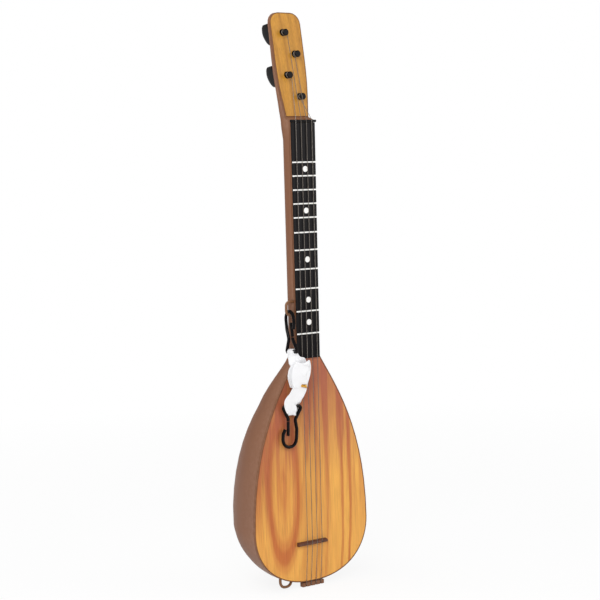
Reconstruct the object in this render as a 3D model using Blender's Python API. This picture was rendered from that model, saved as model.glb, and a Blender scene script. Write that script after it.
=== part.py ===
"""A toy saz: a long-necked lute moulded in plastic, with four nylon strings and a carrying strap.

The frame is upright: +Z runs up the neck, +X is to the right seen from the front, and the strings
face -Y.  The origin is on the fretboard's face at the nut, where a wall hanger takes the neck.
All sizes below are millimetres; they become metres when a mesh is made.
"""

import math

import bpy
import bmesh
from mathutils import Matrix, Vector

MM = 0.001

# Clearances
GAP = 0.3                     # between pieces that touch
RUNNING = 0.35                # round a piece that turns or is threaded through

# Body outline, seen from the front
TAIL_Z = -521.5               # lowest point of the body
BODY_HALF_WIDTH = 79.0
WIDEST_Z = TAIL_Z + 64.0
TAIL_ROUNDNESS = 54.4         # how far the tail curve runs flat
LOW_SIDE = 33.2               # how far the side runs straight below the widest place
HIGH_SIDE = 106.8             # and above it
SHOULDER_LENGTH = 42.3
SHOULDER_ANGLE = 30.8         # degrees from the neck
NECK_JOINT_Z = -261.9

# Bowl, seen from the side
BOWL_DEPTH = 96.1
DEEPEST_Z = TAIL_Z + 75.0
KEEL_TAIL = 42.0
KEEL_LOW = 33.0
KEEL_HIGH = 130.5
HEEL_LENGTH = 33.5
HEEL_ANGLE = 2.0              # degrees from the neck
HEEL_Z = NECK_JOINT_Z + 3.5
HEEL_BLEND = 58.5             # below the joint, where the bowl's section starts to square off
BOWL_SQUARENESS = 2.3         # 2 is an ellipse
NECK_SQUARENESS = 3.5
HEAD_SQUARENESS = 7.0
SHELL_WALL = 2.5

# Neck and fretboard
NECK_HALF_WIDTH_LOW = 15.5
NECK_HALF_WIDTH_TOP = 16.3
NECK_BACK = 24.0              # from the fretboard's face to the back
NECK_END_Z = -2.0
HOLLOW_END_Z = -8.0
FRETBOARD_THICK = 1.8
FRETBOARD_LOW_Z = -265.1
FRETBOARD_TOP_Z = -1.2
FRET_WIDTH = 1.6
FRET_HEIGHT = 0.55
FRET_TANG = 0.5
SLOT_DEPTH = 0.8
FRET_Z = (-45.2, -60.4, -76.0, -91.4, -106.9, -123.5, -143.2, -164.7, -186.7, -211.9, -237.3)
DOT_RADIUS = 3.25
DOT_PROUD = 0.1
DOT_SHIFT = 1.4                # the dots stand a little right of the middle
NUT_LOW_Z = FRETBOARD_TOP_Z + GAP
NUT_THICK = 2.8
NUT_MIDDLE_Z = NUT_LOW_Z + NUT_THICK / 2
NUT_HALF_WIDTH = 17.0
NUT_TOP_Y = -1.7

# Front shell and the printed films let into it
PLATE_FRONT = FRETBOARD_THICK + GAP
FILM_THICK = 0.5
FILM_POCKET = FILM_THICK + GAP
POCKET_FLOOR = 1.7            # plastic under the film
PLATE_THICK = FILM_POCKET + POCKET_FLOOR
RIM_LIP = 1.0                 # plastic border round the film
HEAD_LIP = 0.7
PARTING_Y = PLATE_FRONT + PLATE_THICK + GAP

# Headstock
HEAD_TOP_Z = 122.8
HEAD_HALF_WIDTH = 20.8
HEAD_WIDEST_Z = 70.0
HEAD_WAIST_HALF_WIDTH = 15.4
HEAD_WAIST_Z = 4.0
HEAD_CORNER = 12.5
HEAD_FACE_AT_NUT = 9.8        # how far the face lies behind the fretboard's face
HEAD_LEAN = 0.177             # rise backwards per unit of height, ten degrees
HEAD_PLATE_THICK = 2.8
RAMP_LOW_Z = 2.2
RAMP_TOP_Z = 5.4
RAMP_BACK_LOW_Z = -0.5
RAMP_BACK_TOP_Z = 4.4

# Tuning pegs: four alike, turned about axes that run front to back
PEG_SIDES = (-5.4, 7.4, -6.8, 7.0)   # from the top, left and right of the middle
PEG_TOP_Z = 100.0
PEG_PITCH = 23.9
POST_DISC_RADIUS = 3.85
POST_DISC_THICK = 1.3
POST_HEIGHT = 7.1
POST_NECK_RADIUS = 2.3
SHAFT_RADIUS = 3.0
COLLAR_RADIUS = 4.0
COLLAR_HEIGHT = 1.0
BOSS_RADIUS = 4.3
BOSS_START = 11.5
BUTTON_START = 14.0
BUTTON_FULL = 22.0
BUTTON_END = 37.1
BUTTON_REACH = 13.2            # from the axis to the longer end
BUTTON_HALF_THICK = 2.3
BUTTON_TURN = 26.0            # degrees that the buttons are turned from upright

# Strings
STRING_RADIUS = 0.35
STRING_COUNT = 4
NUT_PITCH = 7.3
BRIDGE_PITCH = 6.8
STRING_AT_NUT_Y = -1.3
STRING_AT_BRIDGE_Y = -2.5
WIND_TURNS = 2.25
WIND_PITCH = 1.15
WIND_POINTS = 24
WIND_BELOW_DISC = 0.8         # room for the string to rise past the disc's edge

# Bridge and tail comb
BRIDGE_Z = TAIL_Z + 45.2
BRIDGE_LENGTH = 40.0
BRIDGE_SHIFT = -1.9           # the floating bridge stands a little to the left
BRIDGE_BASE = 4.6
BRIDGE_CREST = 3.2
BRIDGE_ABOVE_STRING = 0.4
COMB_HALF_WIDTH = 14.8
COMB_BACK_Y = 7.6
COMB_TOP_Z = TAIL_Z - 0.5
COMB_LOW_Z = TAIL_Z - 5.1
COMB_SLOT_TOP_Z = TAIL_Z - 1.9
COMB_STRING_Z = TAIL_Z - 2.7
COMB_NECK_HALF = 8.0
COMB_FLANGE_HALF = 11.0
COMB_FLANGE_THICK = 2.0
KNOT_RADIUS = 1.5

# Strap loops, each a closed D whose straight bar is trapped inside the shell
LOOP_ROD = 1.6
LOOP_Y = PARTING_Y + GAP + LOOP_ROD
NECK_LOOP_Z = -207.9
NECK_LOOP_HALF = 7.2
NECK_LOOP_REACH = 24.9        # centre of the rod at its furthest, from the middle line
NECK_LOOP_BAR = 11.2
TAIL_LOOP_X = -35.5
TAIL_LOOP_HALF = 7.6
TAIL_LOOP_LOW_Z = TAIL_Z - 1.8
TAIL_LOOP_BAR_Z = TAIL_Z + 14.5

# Snap hooks
HOOK_ROD = 1.9
HOOK_BAR_HALF = 13.4
HOOK_WAIST = 15.0
HOOK_WAIST_HALF = 4.8
HOOK_LENGTH = 46.0            # from the bar's centre to the bend's centre line
HOOK_BEND = 9.3
HOOK_BEND_SHIFT = -1.8        # the bend leans to the tongue's side
HOOK_TIP_IN = 2.6             # how far the bend's free end turns in to meet the tongue
TONGUE_ROD = 1.8
TONGUE_ROOT = 17.2
TONGUE_TIP = 33.2
UPPER_HOOK_TURN = 8.0         # degrees from facing straight to the left
UPPER_HOOK_LEAN = 6.5          # degrees that the strap draws its lower end forwards
UPPER_HOOK_X = -20.85
LOWER_HOOK_CENTRE = (-26.7, -2.0, -317.0)
LOWER_HOOK_TILT = 4.0         # degrees, right end low

# Strap, a white webbing folded into a bundle
WEB_WIDTH = 20.0
WEB_THICK = 1.1
STRAP_LOOP_PLAY = 0.95
STRAP_RING_HALF = 7.4         # the webbing is gathered between the hook's slanting sides
TIE_ROD = 0.6

# Assembly screws in the back of the neck
SCREW_Z = (-35.0, -140.0, -235.0)
SCREW_HEAD_RADIUS = 2.8
SCREW_HEAD_THICK = 1.8
SCREW_SHANK_RADIUS = 1.4
SCREW_WELL_FLOOR_Y = 20.4
SCREW_TIP_Y = 8.0
POST_RADIUS = 3.4
POST_END_Y = 16.8


def clear_scene():
    for obj in list(bpy.data.objects):
        bpy.data.objects.remove(obj, do_unlink=True)


def make_material(name, colour, roughness, metallic=0.0):
    material = bpy.data.materials.new(name)
    material.use_nodes = True
    shader = material.node_tree.nodes["Principled BSDF"]
    shader.inputs["Base Color"].default_value = (*colour, 1.0)
    shader.inputs["Roughness"].default_value = roughness
    shader.inputs["Metallic"].default_value = metallic
    return material


def make_object(name, parts, material, origin=(0.0, 0.0, 0.0), smooth_angle=38.0):
    """One object from one or more (verts, faces) parts given in millimetres."""
    verts = []
    faces = []
    for part_verts, part_faces in parts:
        start = len(verts)
        verts.extend((Vector(v) - Vector(origin)) * MM for v in part_verts)
        faces.extend([start + i for i in face] for face in part_faces)
    mesh = bpy.data.meshes.new(name)
    mesh.from_pydata([tuple(v) for v in verts], [], faces)
    work = bmesh.new()
    work.from_mesh(mesh)
    bmesh.ops.recalc_face_normals(work, faces=work.faces)
    work.to_mesh(mesh)
    work.free()
    mesh.shade_smooth()
    mesh.set_sharp_from_angle(angle=math.radians(smooth_angle))
    obj = bpy.data.objects.new(name, mesh)
    obj.location = Vector(origin) * MM
    bpy.context.collection.objects.link(obj)
    if material is not None:
        mesh.materials.append(material)
    return obj


def make_helper(name, parts, origin=(0.0, 0.0, 0.0)):
    helper = make_object(name, parts, None, origin)
    helper.hide_render = True
    helper.display_type = "WIRE"
    return helper


def add_boolean(obj, operation, helper):
    modifier = obj.modifiers.new(helper.name, "BOOLEAN")
    modifier.operation = operation
    modifier.solver = "EXACT"
    modifier.object = helper


def cut(obj, parts):
    add_boolean(obj, "DIFFERENCE", make_helper(obj.name + "_cutter", parts, tuple(obj.location / MM)))


def add_solid(obj, parts):
    add_boolean(obj, "UNION", make_helper(obj.name + "_added", parts, tuple(obj.location / MM)))


def loft(rings):
    """A closed solid through rings of points, with both ends capped."""
    count = len(rings[0])
    verts = [tuple(p) for ring in rings for p in ring]
    faces = []
    for k in range(len(rings) - 1):
        for i in range(count):
            j = (i + 1) % count
            faces.append([k * count + i, k * count + j, (k + 1) * count + j, (k + 1) * count + i])
    faces.append(list(range(count)))
    last = (len(rings) - 1) * count
    faces.append([last + i for i in range(count)])
    return verts, faces


def closed_loft(rings):
    """A ring-shaped solid: the last ring joins the first."""
    count = len(rings[0])
    verts = [tuple(p) for ring in rings for p in ring]
    faces = []
    for k in range(len(rings)):
        n = (k + 1) % len(rings)
        for i in range(count):
            j = (i + 1) % count
            faces.append([k * count + i, k * count + j, n * count + j, n * count + i])
    return verts, faces


def prism(outline, front, back):
    """An outline of (x, z) points between two depths; each depth is a number or a rule of z."""
    front_at = front if callable(front) else lambda z: front
    back_at = back if callable(back) else lambda z: back
    return loft([[(x, front_at(z), z) for x, z in outline], [(x, back_at(z), z) for x, z in outline]])


def box(x0, x1, y0, y1, z0, z1):
    return prism([(x0, z0), (x1, z0), (x1, z1), (x0, z1)], y0, y1)


def circle_xz(x, z, radius, steps):
    angles = [2 * math.pi * i / steps for i in range(steps)]
    return [(x + radius * math.cos(a), z + radius * math.sin(a)) for a in angles]


def rod_y(x, z, radius, front, back, steps=20):
    return prism(circle_xz(x, z, radius, steps), front, back)


def turned_y(x, z, profile, steps=16):
    """A solid turned about an axis along Y from (radius, y) points."""
    return loft([[(px, y, pz) for px, pz in circle_xz(x, z, radius, steps)] for radius, y in profile])


def bezier(p0, p1, p2, p3, steps):
    points = []
    for i in range(steps + 1):
        t = i / steps
        s = 1 - t
        weights = (s * s * s, 3 * s * s * t, 3 * s * t * t, t * t * t)
        points.append(tuple(sum(w * p[k] for w, p in zip(weights, (p0, p1, p2, p3))) for k in range(2)))
    return points


def value_at(profile, z):
    """Reads a (value, z) profile, listed from low to high, at one height."""
    if z <= profile[0][1]:
        return profile[0][0]
    for (v0, z0), (v1, z1) in zip(profile, profile[1:]):
        if z <= z1:
            return v0 + (v1 - v0) * (z - z0) / max(z1 - z0, 1e-9)
    return profile[-1][0]


def offset_profile(profile, distance):
    """Moves a (value, z) profile inwards, square to itself."""
    moved = []
    for i, (v, z) in enumerate(profile):
        v0, z0 = profile[max(i - 1, 0)]
        v1, z1 = profile[min(i + 1, len(profile) - 1)]
        dv, dz = v1 - v0, z1 - z0
        length = math.hypot(dv, dz)
        moved.append((v - distance * dz / length, z + distance * dv / length))
    return [p for i, p in enumerate(moved) if p[0] > 0 and (i == 0 or p[1] > moved[i - 1][1])]


def fillet_path(corners, closed=False, steps=5):
    """A 2-D path through (a, b, radius) corners with each corner rounded to an arc."""
    count = len(corners)
    path = []
    for i, (a, b, radius) in enumerate(corners):
        here = Vector((a, b))
        if radius == 0 or (not closed and i in (0, count - 1)):
            path.append((a, b))
            continue
        before = (Vector(corners[(i - 1) % count][:2]) - here).normalized()
        after = (Vector(corners[(i + 1) % count][:2]) - here).normalized()
        half = before.angle(after) / 2
        reach = radius / math.tan(half)
        centre = here + (before + after).normalized() * radius / math.sin(half)
        start = here + before * reach - centre
        end = here + after * reach - centre
        sweep = start.angle_signed(end)
        for k in range(steps + 1):
            turn = -sweep * k / steps
            path.append((
                centre.x + start.x * math.cos(turn) - start.y * math.sin(turn),
                centre.y + start.x * math.sin(turn) + start.y * math.cos(turn),
            ))
    return path


def tube(name, points, radius, material, closed=False, resolution=2, origin=(0.0, 0.0, 0.0), radii=None):
    """A round rod or cord along points given in millimetres."""
    curve = bpy.data.curves.new(name, "CURVE")
    curve.dimensions = "3D"
    curve.bevel_depth = radius * MM
    curve.bevel_resolution = resolution
    curve.use_fill_caps = True
    curve.twist_mode = "MINIMUM"
    spline = curve.splines.new("POLY")
    spline.points.add(len(points) - 1)
    for i, point in enumerate(points):
        spline.points[i].co = (*((Vector(point) - Vector(origin)) * MM), 1.0)
        spline.points[i].radius = radii[i] if radii else 1.0
    spline.use_cyclic_u = closed
    spline.use_smooth = True
    curve.materials.append(material)
    obj = bpy.data.objects.new(name, curve)
    obj.location = Vector(origin) * MM
    bpy.context.collection.objects.link(obj)
    return obj


# Shapes shared by the two shells


def body_outline():
    """Half-width against height, from the tail up to the neck joint."""
    low = bezier(
        (0.0, TAIL_Z), (TAIL_ROUNDNESS, TAIL_Z),
        (BODY_HALF_WIDTH, WIDEST_Z - LOW_SIDE), (BODY_HALF_WIDTH, WIDEST_Z), 18,
    )
    angle = math.radians(SHOULDER_ANGLE)
    high = bezier(
        (BODY_HALF_WIDTH, WIDEST_Z), (BODY_HALF_WIDTH, WIDEST_Z + HIGH_SIDE),
        (NECK_HALF_WIDTH_LOW + SHOULDER_LENGTH * math.sin(angle),
         NECK_JOINT_Z - SHOULDER_LENGTH * math.cos(angle)),
        (NECK_HALF_WIDTH_LOW, NECK_JOINT_Z), 14,
    )
    return low[1:] + high[1:]


def head_outline():
    """Half-width of the neck's end and the headstock against height."""
    flare = bezier(
        (HEAD_WAIST_HALF_WIDTH, HEAD_WAIST_Z), (HEAD_WAIST_HALF_WIDTH + 1.8, HEAD_WAIST_Z + 19.0),
        (HEAD_HALF_WIDTH - 0.2, HEAD_WIDEST_Z - 34.0), (HEAD_HALF_WIDTH, HEAD_WIDEST_Z), 7,
    )
    corner = []
    for i in range(6):
        angle = math.radians(90.0 * i / 5)
        corner.append((
            HEAD_HALF_WIDTH - HEAD_CORNER * (1 - math.cos(angle)),
            HEAD_TOP_Z - HEAD_CORNER * (1 - math.sin(angle)),
        ))
    return [(NECK_HALF_WIDTH_TOP, NECK_END_Z)] + flare + corner


def keel_profile():
    """Depth of the bowl and neck behind the parting plane against height."""
    neck_depth = NECK_BACK - PARTING_Y
    angle = math.radians(HEEL_ANGLE)
    low = bezier(
        (0.0, TAIL_Z), (KEEL_TAIL, TAIL_Z), (BOWL_DEPTH, DEEPEST_Z - KEEL_LOW), (BOWL_DEPTH, DEEPEST_Z), 18,
    )
    high = bezier(
        (BOWL_DEPTH, DEEPEST_Z), (BOWL_DEPTH, DEEPEST_Z + KEEL_HIGH),
        (neck_depth + HEEL_LENGTH * math.sin(angle), HEEL_Z - HEEL_LENGTH * math.cos(angle)),
        (neck_depth, HEEL_Z), 18,
    )
    return low[1:] + high[1:]


OUTLINE = body_outline() + head_outline()
KEEL = keel_profile()


def half_width(z):
    return value_at(OUTLINE, z)


def head_face(z):
    """Depth of the headstock's face; it leans back from the fretboard's plane."""
    return HEAD_FACE_AT_NUT + HEAD_LEAN * z


def plate_front(z):
    return value_at([(PLATE_FRONT, RAMP_LOW_Z), (head_face(RAMP_TOP_Z), RAMP_TOP_Z),
                     (head_face(HEAD_TOP_Z), HEAD_TOP_Z)], z)


def plate_back(z):
    top = head_face(RAMP_BACK_TOP_Z) + HEAD_PLATE_THICK
    return value_at([(PLATE_FRONT + PLATE_THICK, RAMP_BACK_LOW_Z), (top, RAMP_BACK_TOP_Z),
                     (head_face(HEAD_TOP_Z) + HEAD_PLATE_THICK, HEAD_TOP_Z)], z)


def parting(z):
    return plate_back(z) + GAP


def back_of(z):
    """Depth of the outer back: bowl, neck and the headstock, which thins towards its top."""
    if z < HEEL_Z:
        return PARTING_Y + value_at(KEEL, z)
    return value_at([(NECK_BACK, -20.0), (NECK_BACK + 1.0, -3.0), (NECK_BACK + 1.4, 10.0),
                     (NECK_BACK + 1.6, 24.0), (NECK_BACK + 2.4, 36.0), (NECK_BACK + 13.0, HEAD_TOP_Z)], z)


def squareness(z):
    return value_at([(BOWL_SQUARENESS, NECK_JOINT_Z - HEEL_BLEND), (NECK_SQUARENESS, NECK_JOINT_Z),
                     (NECK_SQUARENESS, -20.0),
                     (HEAD_SQUARENESS, 12.0)], z)


def u_section(z, half, front, depth, square, steps):
    points = []
    for i in range(steps + 1):
        angle = math.pi * i / steps
        c, s = math.cos(angle), math.sin(angle)
        x = half * math.copysign(abs(c) ** (2 / square), c)
        points.append((x, front + depth * abs(s) ** (2 / square), z))
    return points


def shell_stations():
    heights = [z for _, z in OUTLINE]
    heights += [-250.0, -230.0, -140.0, -50.0, -20.0, -8.0, RAMP_BACK_LOW_Z, RAMP_BACK_TOP_Z]
    heights += [12.0, 24.0, 36.0, 90.0]
    heights = sorted(heights)
    kept = [heights[0]]
    for z in heights[1:]:
        if z - kept[-1] > 0.15:
            kept.append(z)
    return kept


def peg_centres():
    """(x, z) of the four pegs, from the top, staggered left and right."""
    return [(side, PEG_TOP_Z - PEG_PITCH * k) for k, side in enumerate(PEG_SIDES)]


def bowl_inside():
    """The hollow of the bowl and neck, carried out past the parting plane."""
    inner_outline = offset_profile(OUTLINE, SHELL_WALL)
    inner_keel = offset_profile(KEEL, SHELL_WALL)
    neck_inside = NECK_BACK - PARTING_Y - SHELL_WALL
    heights = [z for _, z in inner_outline if z < NECK_JOINT_Z][::2]
    heights += [NECK_JOINT_Z, HEEL_Z, HEEL_Z + 8.0, HOLLOW_END_Z]
    rings = []
    for z in heights:
        half = value_at(inner_outline, z)
        depth = min(value_at(inner_keel, z), neck_inside) if z > HEEL_Z - 1.0 else value_at(inner_keel, z)
        ring = u_section(z, half, PARTING_Y, depth, squareness(z), 14)
        rings.append([(half, PARTING_Y - 2.0, z)] + ring + [(-half, PARTING_Y - 2.0, z)])
    return loft(rings)


def build_back_shell(material):
    """Bowl, back of the neck and back of the headstock, one hollow moulding."""
    rings = []
    for z in shell_stations():
        front = parting(z)
        rings.append(u_section(z, half_width(z), front, back_of(z) - front, squareness(z), 18))
    shell = make_object("back_shell", [loft(rings)], material)

    cut(shell, [bowl_inside()])

    add_solid(shell, [rod_y(0, z, POST_RADIUS + 1.2, POST_END_Y + GAP, NECK_BACK - 1.0, 16) for z in SCREW_Z])
    holes = [rod_y(x, z, SHAFT_RADIUS + 2 * RUNNING, 0.0, 60.0) for x, z in peg_centres()]
    for z in SCREW_Z:
        holes.append(turned_y(0, z, [
            (SCREW_SHANK_RADIUS + RUNNING, POST_END_Y - 1.0),
            (SCREW_SHANK_RADIUS + RUNNING, SCREW_WELL_FLOOR_Y),
            (SCREW_HEAD_RADIUS + RUNNING, SCREW_WELL_FLOOR_Y), (SCREW_HEAD_RADIUS + RUNNING, NECK_BACK + 4.0),
        ]))
    slot = LOOP_ROD + RUNNING
    slot_back = LOOP_Y + slot
    for z in (NECK_LOOP_Z - NECK_LOOP_HALF, NECK_LOOP_Z + NECK_LOOP_HALF):
        holes.append(box(-NECK_HALF_WIDTH_TOP - 2.0, -NECK_HALF_WIDTH_LOW + SHELL_WALL + 1.0,
                         PARTING_Y - 1.0, slot_back, z - slot, z + slot))
    for x in (TAIL_LOOP_X - TAIL_LOOP_HALF, TAIL_LOOP_X + TAIL_LOOP_HALF):
        holes.append(box(x - slot, x + slot, PARTING_Y - 1.0, slot_back, TAIL_Z, TAIL_LOOP_BAR_Z - LOOP_ROD))
    foot = comb_foot_depths()
    holes.append(box(-COMB_NECK_HALF - RUNNING, COMB_NECK_HALF + RUNNING, PARTING_Y - 1.0, foot[1] + RUNNING,
                     TAIL_Z - 1.0, TAIL_Z + SHELL_WALL + 2.0))
    cut(shell, holes)
    return shell


def inset_outline(distance, low_z, high_z):
    """Closed outline of the body, moved inwards, between two heights."""
    right = [p for p in offset_profile(OUTLINE, distance) if low_z < p[1] < high_z]
    right.append((value_at(offset_profile(OUTLINE, distance), high_z), high_z))
    return right + [(-x, z) for x, z in reversed(right)]


def head_film_outline(distance):
    low = RAMP_TOP_Z + distance
    high = HEAD_TOP_Z - distance
    right = [p for p in offset_profile(OUTLINE, distance) if low < p[1] < high]
    right.insert(0, (value_at(OUTLINE, low) - distance, low))
    right.append((HEAD_HALF_WIDTH - HEAD_CORNER, high))
    return right + [(-x, z) for x, z in reversed(right)]


FILM_TOP_Z = FRETBOARD_LOW_Z - GAP


def build_front_shell(material):
    """Soundboard plate, front of the neck and front of the headstock, one flat moulding."""
    heights = sorted(shell_stations() + [RAMP_LOW_Z, RAMP_TOP_Z])
    rings = []
    for z in heights:
        half = half_width(z)
        front, back = plate_front(z), plate_back(z)
        rings.append([(half, front, z), (half, back, z), (-half, back, z), (-half, front, z)])
    shell = make_object("front_shell", [loft(rings)], material, smooth_angle=25.0)
    add_solid(shell, [rod_y(0, z, POST_RADIUS, PLATE_FRONT + 1.0, POST_END_Y, 16) for z in SCREW_Z])
    pockets = [
        prism(inset_outline(RIM_LIP, TAIL_Z, FILM_TOP_Z), PLATE_FRONT - 3.0, PLATE_FRONT + FILM_POCKET),
        prism(head_film_outline(HEAD_LIP), lambda z: head_face(z) - 6.0,
              lambda z: head_face(z) + FILM_POCKET),
    ]
    cut(shell, pockets)
    holes = [rod_y(x, z, SHAFT_RADIUS + 2 * RUNNING, 0.0, 50.0) for x, z in peg_centres()]
    pilot = SCREW_SHANK_RADIUS + RUNNING
    holes += [rod_y(0, z, pilot, SCREW_TIP_Y - 1.0, POST_END_Y + 1.0, 12) for z in SCREW_Z]
    cut(shell, holes)
    return shell


def build_films(material):
    """The two printed wood-grain films, each let into its pocket."""
    board_outline = inset_outline(RIM_LIP + GAP, TAIL_Z, FILM_TOP_Z - GAP)
    board = prism(board_outline, PLATE_FRONT, PLATE_FRONT + FILM_THICK)
    make_object("soundboard_film", [board], material)
    head = prism(head_film_outline(HEAD_LIP + GAP), head_face, lambda z: head_face(z) + FILM_THICK)
    film = make_object("headstock_film", [head], material)
    cut(film, [rod_y(x, z, SHAFT_RADIUS + 2 * RUNNING, 0.0, 50.0) for x, z in peg_centres()])


def board_half_width(z):
    """Half-width of the fretboard strip, which covers the neck's front."""
    low, top = NECK_HALF_WIDTH_LOW - 0.2, NECK_HALF_WIDTH_TOP - 0.1
    return value_at([(low, FRETBOARD_LOW_Z), (top, FRETBOARD_TOP_Z)], z)


def dot_heights():
    after_fret = (1, 4, 7, 9, 10)
    return [(FRET_Z[k - 1] + FRET_Z[k]) / 2 for k in after_fret]


def build_fretboard(black, white):
    low, top = board_half_width(FRETBOARD_LOW_Z), board_half_width(FRETBOARD_TOP_Z)
    outline = [(low, FRETBOARD_LOW_Z), (top, FRETBOARD_TOP_Z)]
    outline += [(-x, z) for x, z in reversed(outline)]
    board = make_object("fretboard", [prism(outline, 0.0, FRETBOARD_THICK)], black, smooth_angle=20.0)
    slot_half = FRET_WIDTH / 2 + GAP
    cutters = [box(-30.0, 30.0, -2.0, SLOT_DEPTH, z - slot_half, z + slot_half) for z in FRET_Z]
    cutters += [rod_y(DOT_SHIFT, z, DOT_RADIUS + GAP, -2.0, SLOT_DEPTH, 24) for z in dot_heights()]
    cut(board, cutters)
    for k, z in enumerate(FRET_Z, 1):
        build_fret("fret_%02d" % k, z, white)
    for k, z in enumerate(dot_heights(), 1):
        disc = rod_y(DOT_SHIFT, z, DOT_RADIUS, -DOT_PROUD, SLOT_DEPTH - GAP, 24)
        make_object("position_dot_%d" % k, [disc], white)


def build_fret(name, z, material):
    """A fret bar: a half-round crown on a flat tang."""
    half = board_half_width(z)
    section = [(FRET_WIDTH / 2, FRET_TANG), (FRET_WIDTH / 2, 0.0)]
    for i in range(1, 6):
        angle = math.pi * i / 6
        section.append((FRET_WIDTH / 2 * math.cos(angle), -FRET_HEIGHT * math.sin(angle)))
    section += [(-FRET_WIDTH / 2, 0.0), (-FRET_WIDTH / 2, FRET_TANG)]
    rings = [[(x, y, z + dz) for dz, y in section] for x in (-half, half)]
    make_object(name, [loft(rings)], material, origin=(0, 0, z))


def string_x(index, pitch):
    return pitch * (index - (STRING_COUNT - 1) / 2)


def build_nut(material):
    low_z = NUT_LOW_Z
    section = [(PLATE_FRONT - GAP, low_z), (NUT_TOP_Y + 0.9, low_z), (NUT_TOP_Y, low_z + 0.9),
               (NUT_TOP_Y, low_z + NUT_THICK - 0.9), (NUT_TOP_Y + 0.9, low_z + NUT_THICK),
               (PLATE_FRONT - GAP, low_z + NUT_THICK)]
    nut = make_object("nut", [loft([[(x, y, z) for y, z in section]
                                    for x in (-NUT_HALF_WIDTH, NUT_HALF_WIDTH)])], material)
    notches = []
    for k in range(STRING_COUNT):
        x = string_x(k, NUT_PITCH)
        half = STRING_RADIUS + GAP
        notches.append(box(x - half, x + half, NUT_TOP_Y - 1.0, STRING_AT_NUT_Y + half,
                           low_z - 1.0, low_z + NUT_THICK + 1.0))
    cut(nut, notches)


def button_section(depth, low, high, half_thick, x, z, steps=16):
    """One cross-section of a thumb button, square to the peg's axis."""
    turn = math.radians(BUTTON_TURN)
    middle = (high - low) / 2
    half_length = (high + low) / 2
    points = []
    for i in range(steps):
        angle = 2 * math.pi * i / steps
        c, s = math.cos(angle), math.sin(angle)
        along = middle + half_length * math.copysign(abs(c) ** 0.6, c)
        across = half_thick * math.copysign(abs(s) ** 0.7, s)
        points.append((
            x - along * math.sin(turn) + across * math.cos(turn),
            depth,
            z + along * math.cos(turn) + across * math.sin(turn),
        ))
    return points


def build_peg(index, x, z, black):
    """Post, shaft and thumb button, moulded in one and turned about the post's axis."""
    face = head_face(z)
    disc_back = POST_DISC_THICK - POST_HEIGHT
    profile = [
        (POST_DISC_RADIUS - 0.7, -POST_HEIGHT), (POST_DISC_RADIUS, -POST_HEIGHT + 0.5),
        (POST_DISC_RADIUS, disc_back), (POST_NECK_RADIUS, disc_back + 0.2),
        (POST_NECK_RADIUS, -COLLAR_HEIGHT + 0.2), (SHAFT_RADIUS, -COLLAR_HEIGHT + 0.4),
        (SHAFT_RADIUS, BOSS_START), (BOSS_RADIUS, BOSS_START + 0.5),
        (BOSS_RADIUS - 0.6, BUTTON_START + 1.5),
    ]
    peg = make_object("peg_%d" % index, [turned_y(x, z, [(r, face + y) for r, y in profile])],
                      black, origin=(x, face, z))
    reach = BUTTON_FULL - BUTTON_START
    shape = [
        (BUTTON_START, 3.4, 3.4, 2.6), (BUTTON_START + 0.35 * reach, 4.6, 4.6, 2.5),
        (BUTTON_START + 0.65 * reach, 8.4, 8.4, BUTTON_HALF_THICK),
        (BUTTON_START + 0.85 * reach, 11.6, 11.6, BUTTON_HALF_THICK),
        (BUTTON_FULL, BUTTON_REACH, BUTTON_REACH - 0.4, BUTTON_HALF_THICK),
        (BUTTON_END - 6.6, BUTTON_REACH, BUTTON_REACH - 1.5, 2.2),
        (BUTTON_END - 4.1, BUTTON_REACH - 0.4, BUTTON_REACH - 3.5, 2.0),
        (BUTTON_END - 2.4, BUTTON_REACH - 1.8, BUTTON_REACH - 6.0, 1.9),
        (BUTTON_END - 1.1, BUTTON_REACH - 4.6, BUTTON_REACH - 8.6, 1.7),
        (BUTTON_END - 0.3, BUTTON_REACH - 8.0, BUTTON_REACH - 11.6, 1.4),
        (BUTTON_END, BUTTON_REACH - 9.8, BUTTON_REACH - 13.6, 1.1),
    ]
    rings = [button_section(face + y, low, high, thick, x, z) for y, low, high, thick in shape]
    add_solid(peg, [loft(rings)])


def build_collar(index, x, z, black):
    """The bush that the post turns in; its back follows the leaning face."""
    face = head_face(z)
    front = face - COLLAR_HEIGHT
    outer = circle_xz(x, z, COLLAR_RADIUS, 20)
    inner = circle_xz(x, z, SHAFT_RADIUS + RUNNING, 20)
    rings = [
        [(px, head_face(pz) - GAP, pz) for px, pz in outer], [(px, front, pz) for px, pz in outer],
        [(px, front, pz) for px, pz in inner], [(px, head_face(pz) - GAP, pz) for px, pz in inner],
    ]
    make_object("peg_collar_%d" % index, [closed_loft(rings)], black)


def string_of_peg():
    """Which string each peg carries, from the top: inner left, inner right, outer left, outer right."""
    return (1, 2, 0, 3)


def winding_top(z):
    """Depth at which a string leaves its post, just under the disc."""
    return head_face(z) - POST_HEIGHT + POST_DISC_THICK + GAP + STRING_RADIUS + WIND_BELOW_DISC


def leave_point(x, z, target_x, target_z, radius):
    """Where a line from the nut touches the winding on its inner side."""
    direction = Vector((target_x - x, target_z - z)).normalized()
    side = -1 if x > 0 else 1
    normal = Vector((-direction.y, direction.x)) * side
    return x + normal.x * radius, z + normal.y * radius, direction


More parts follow.
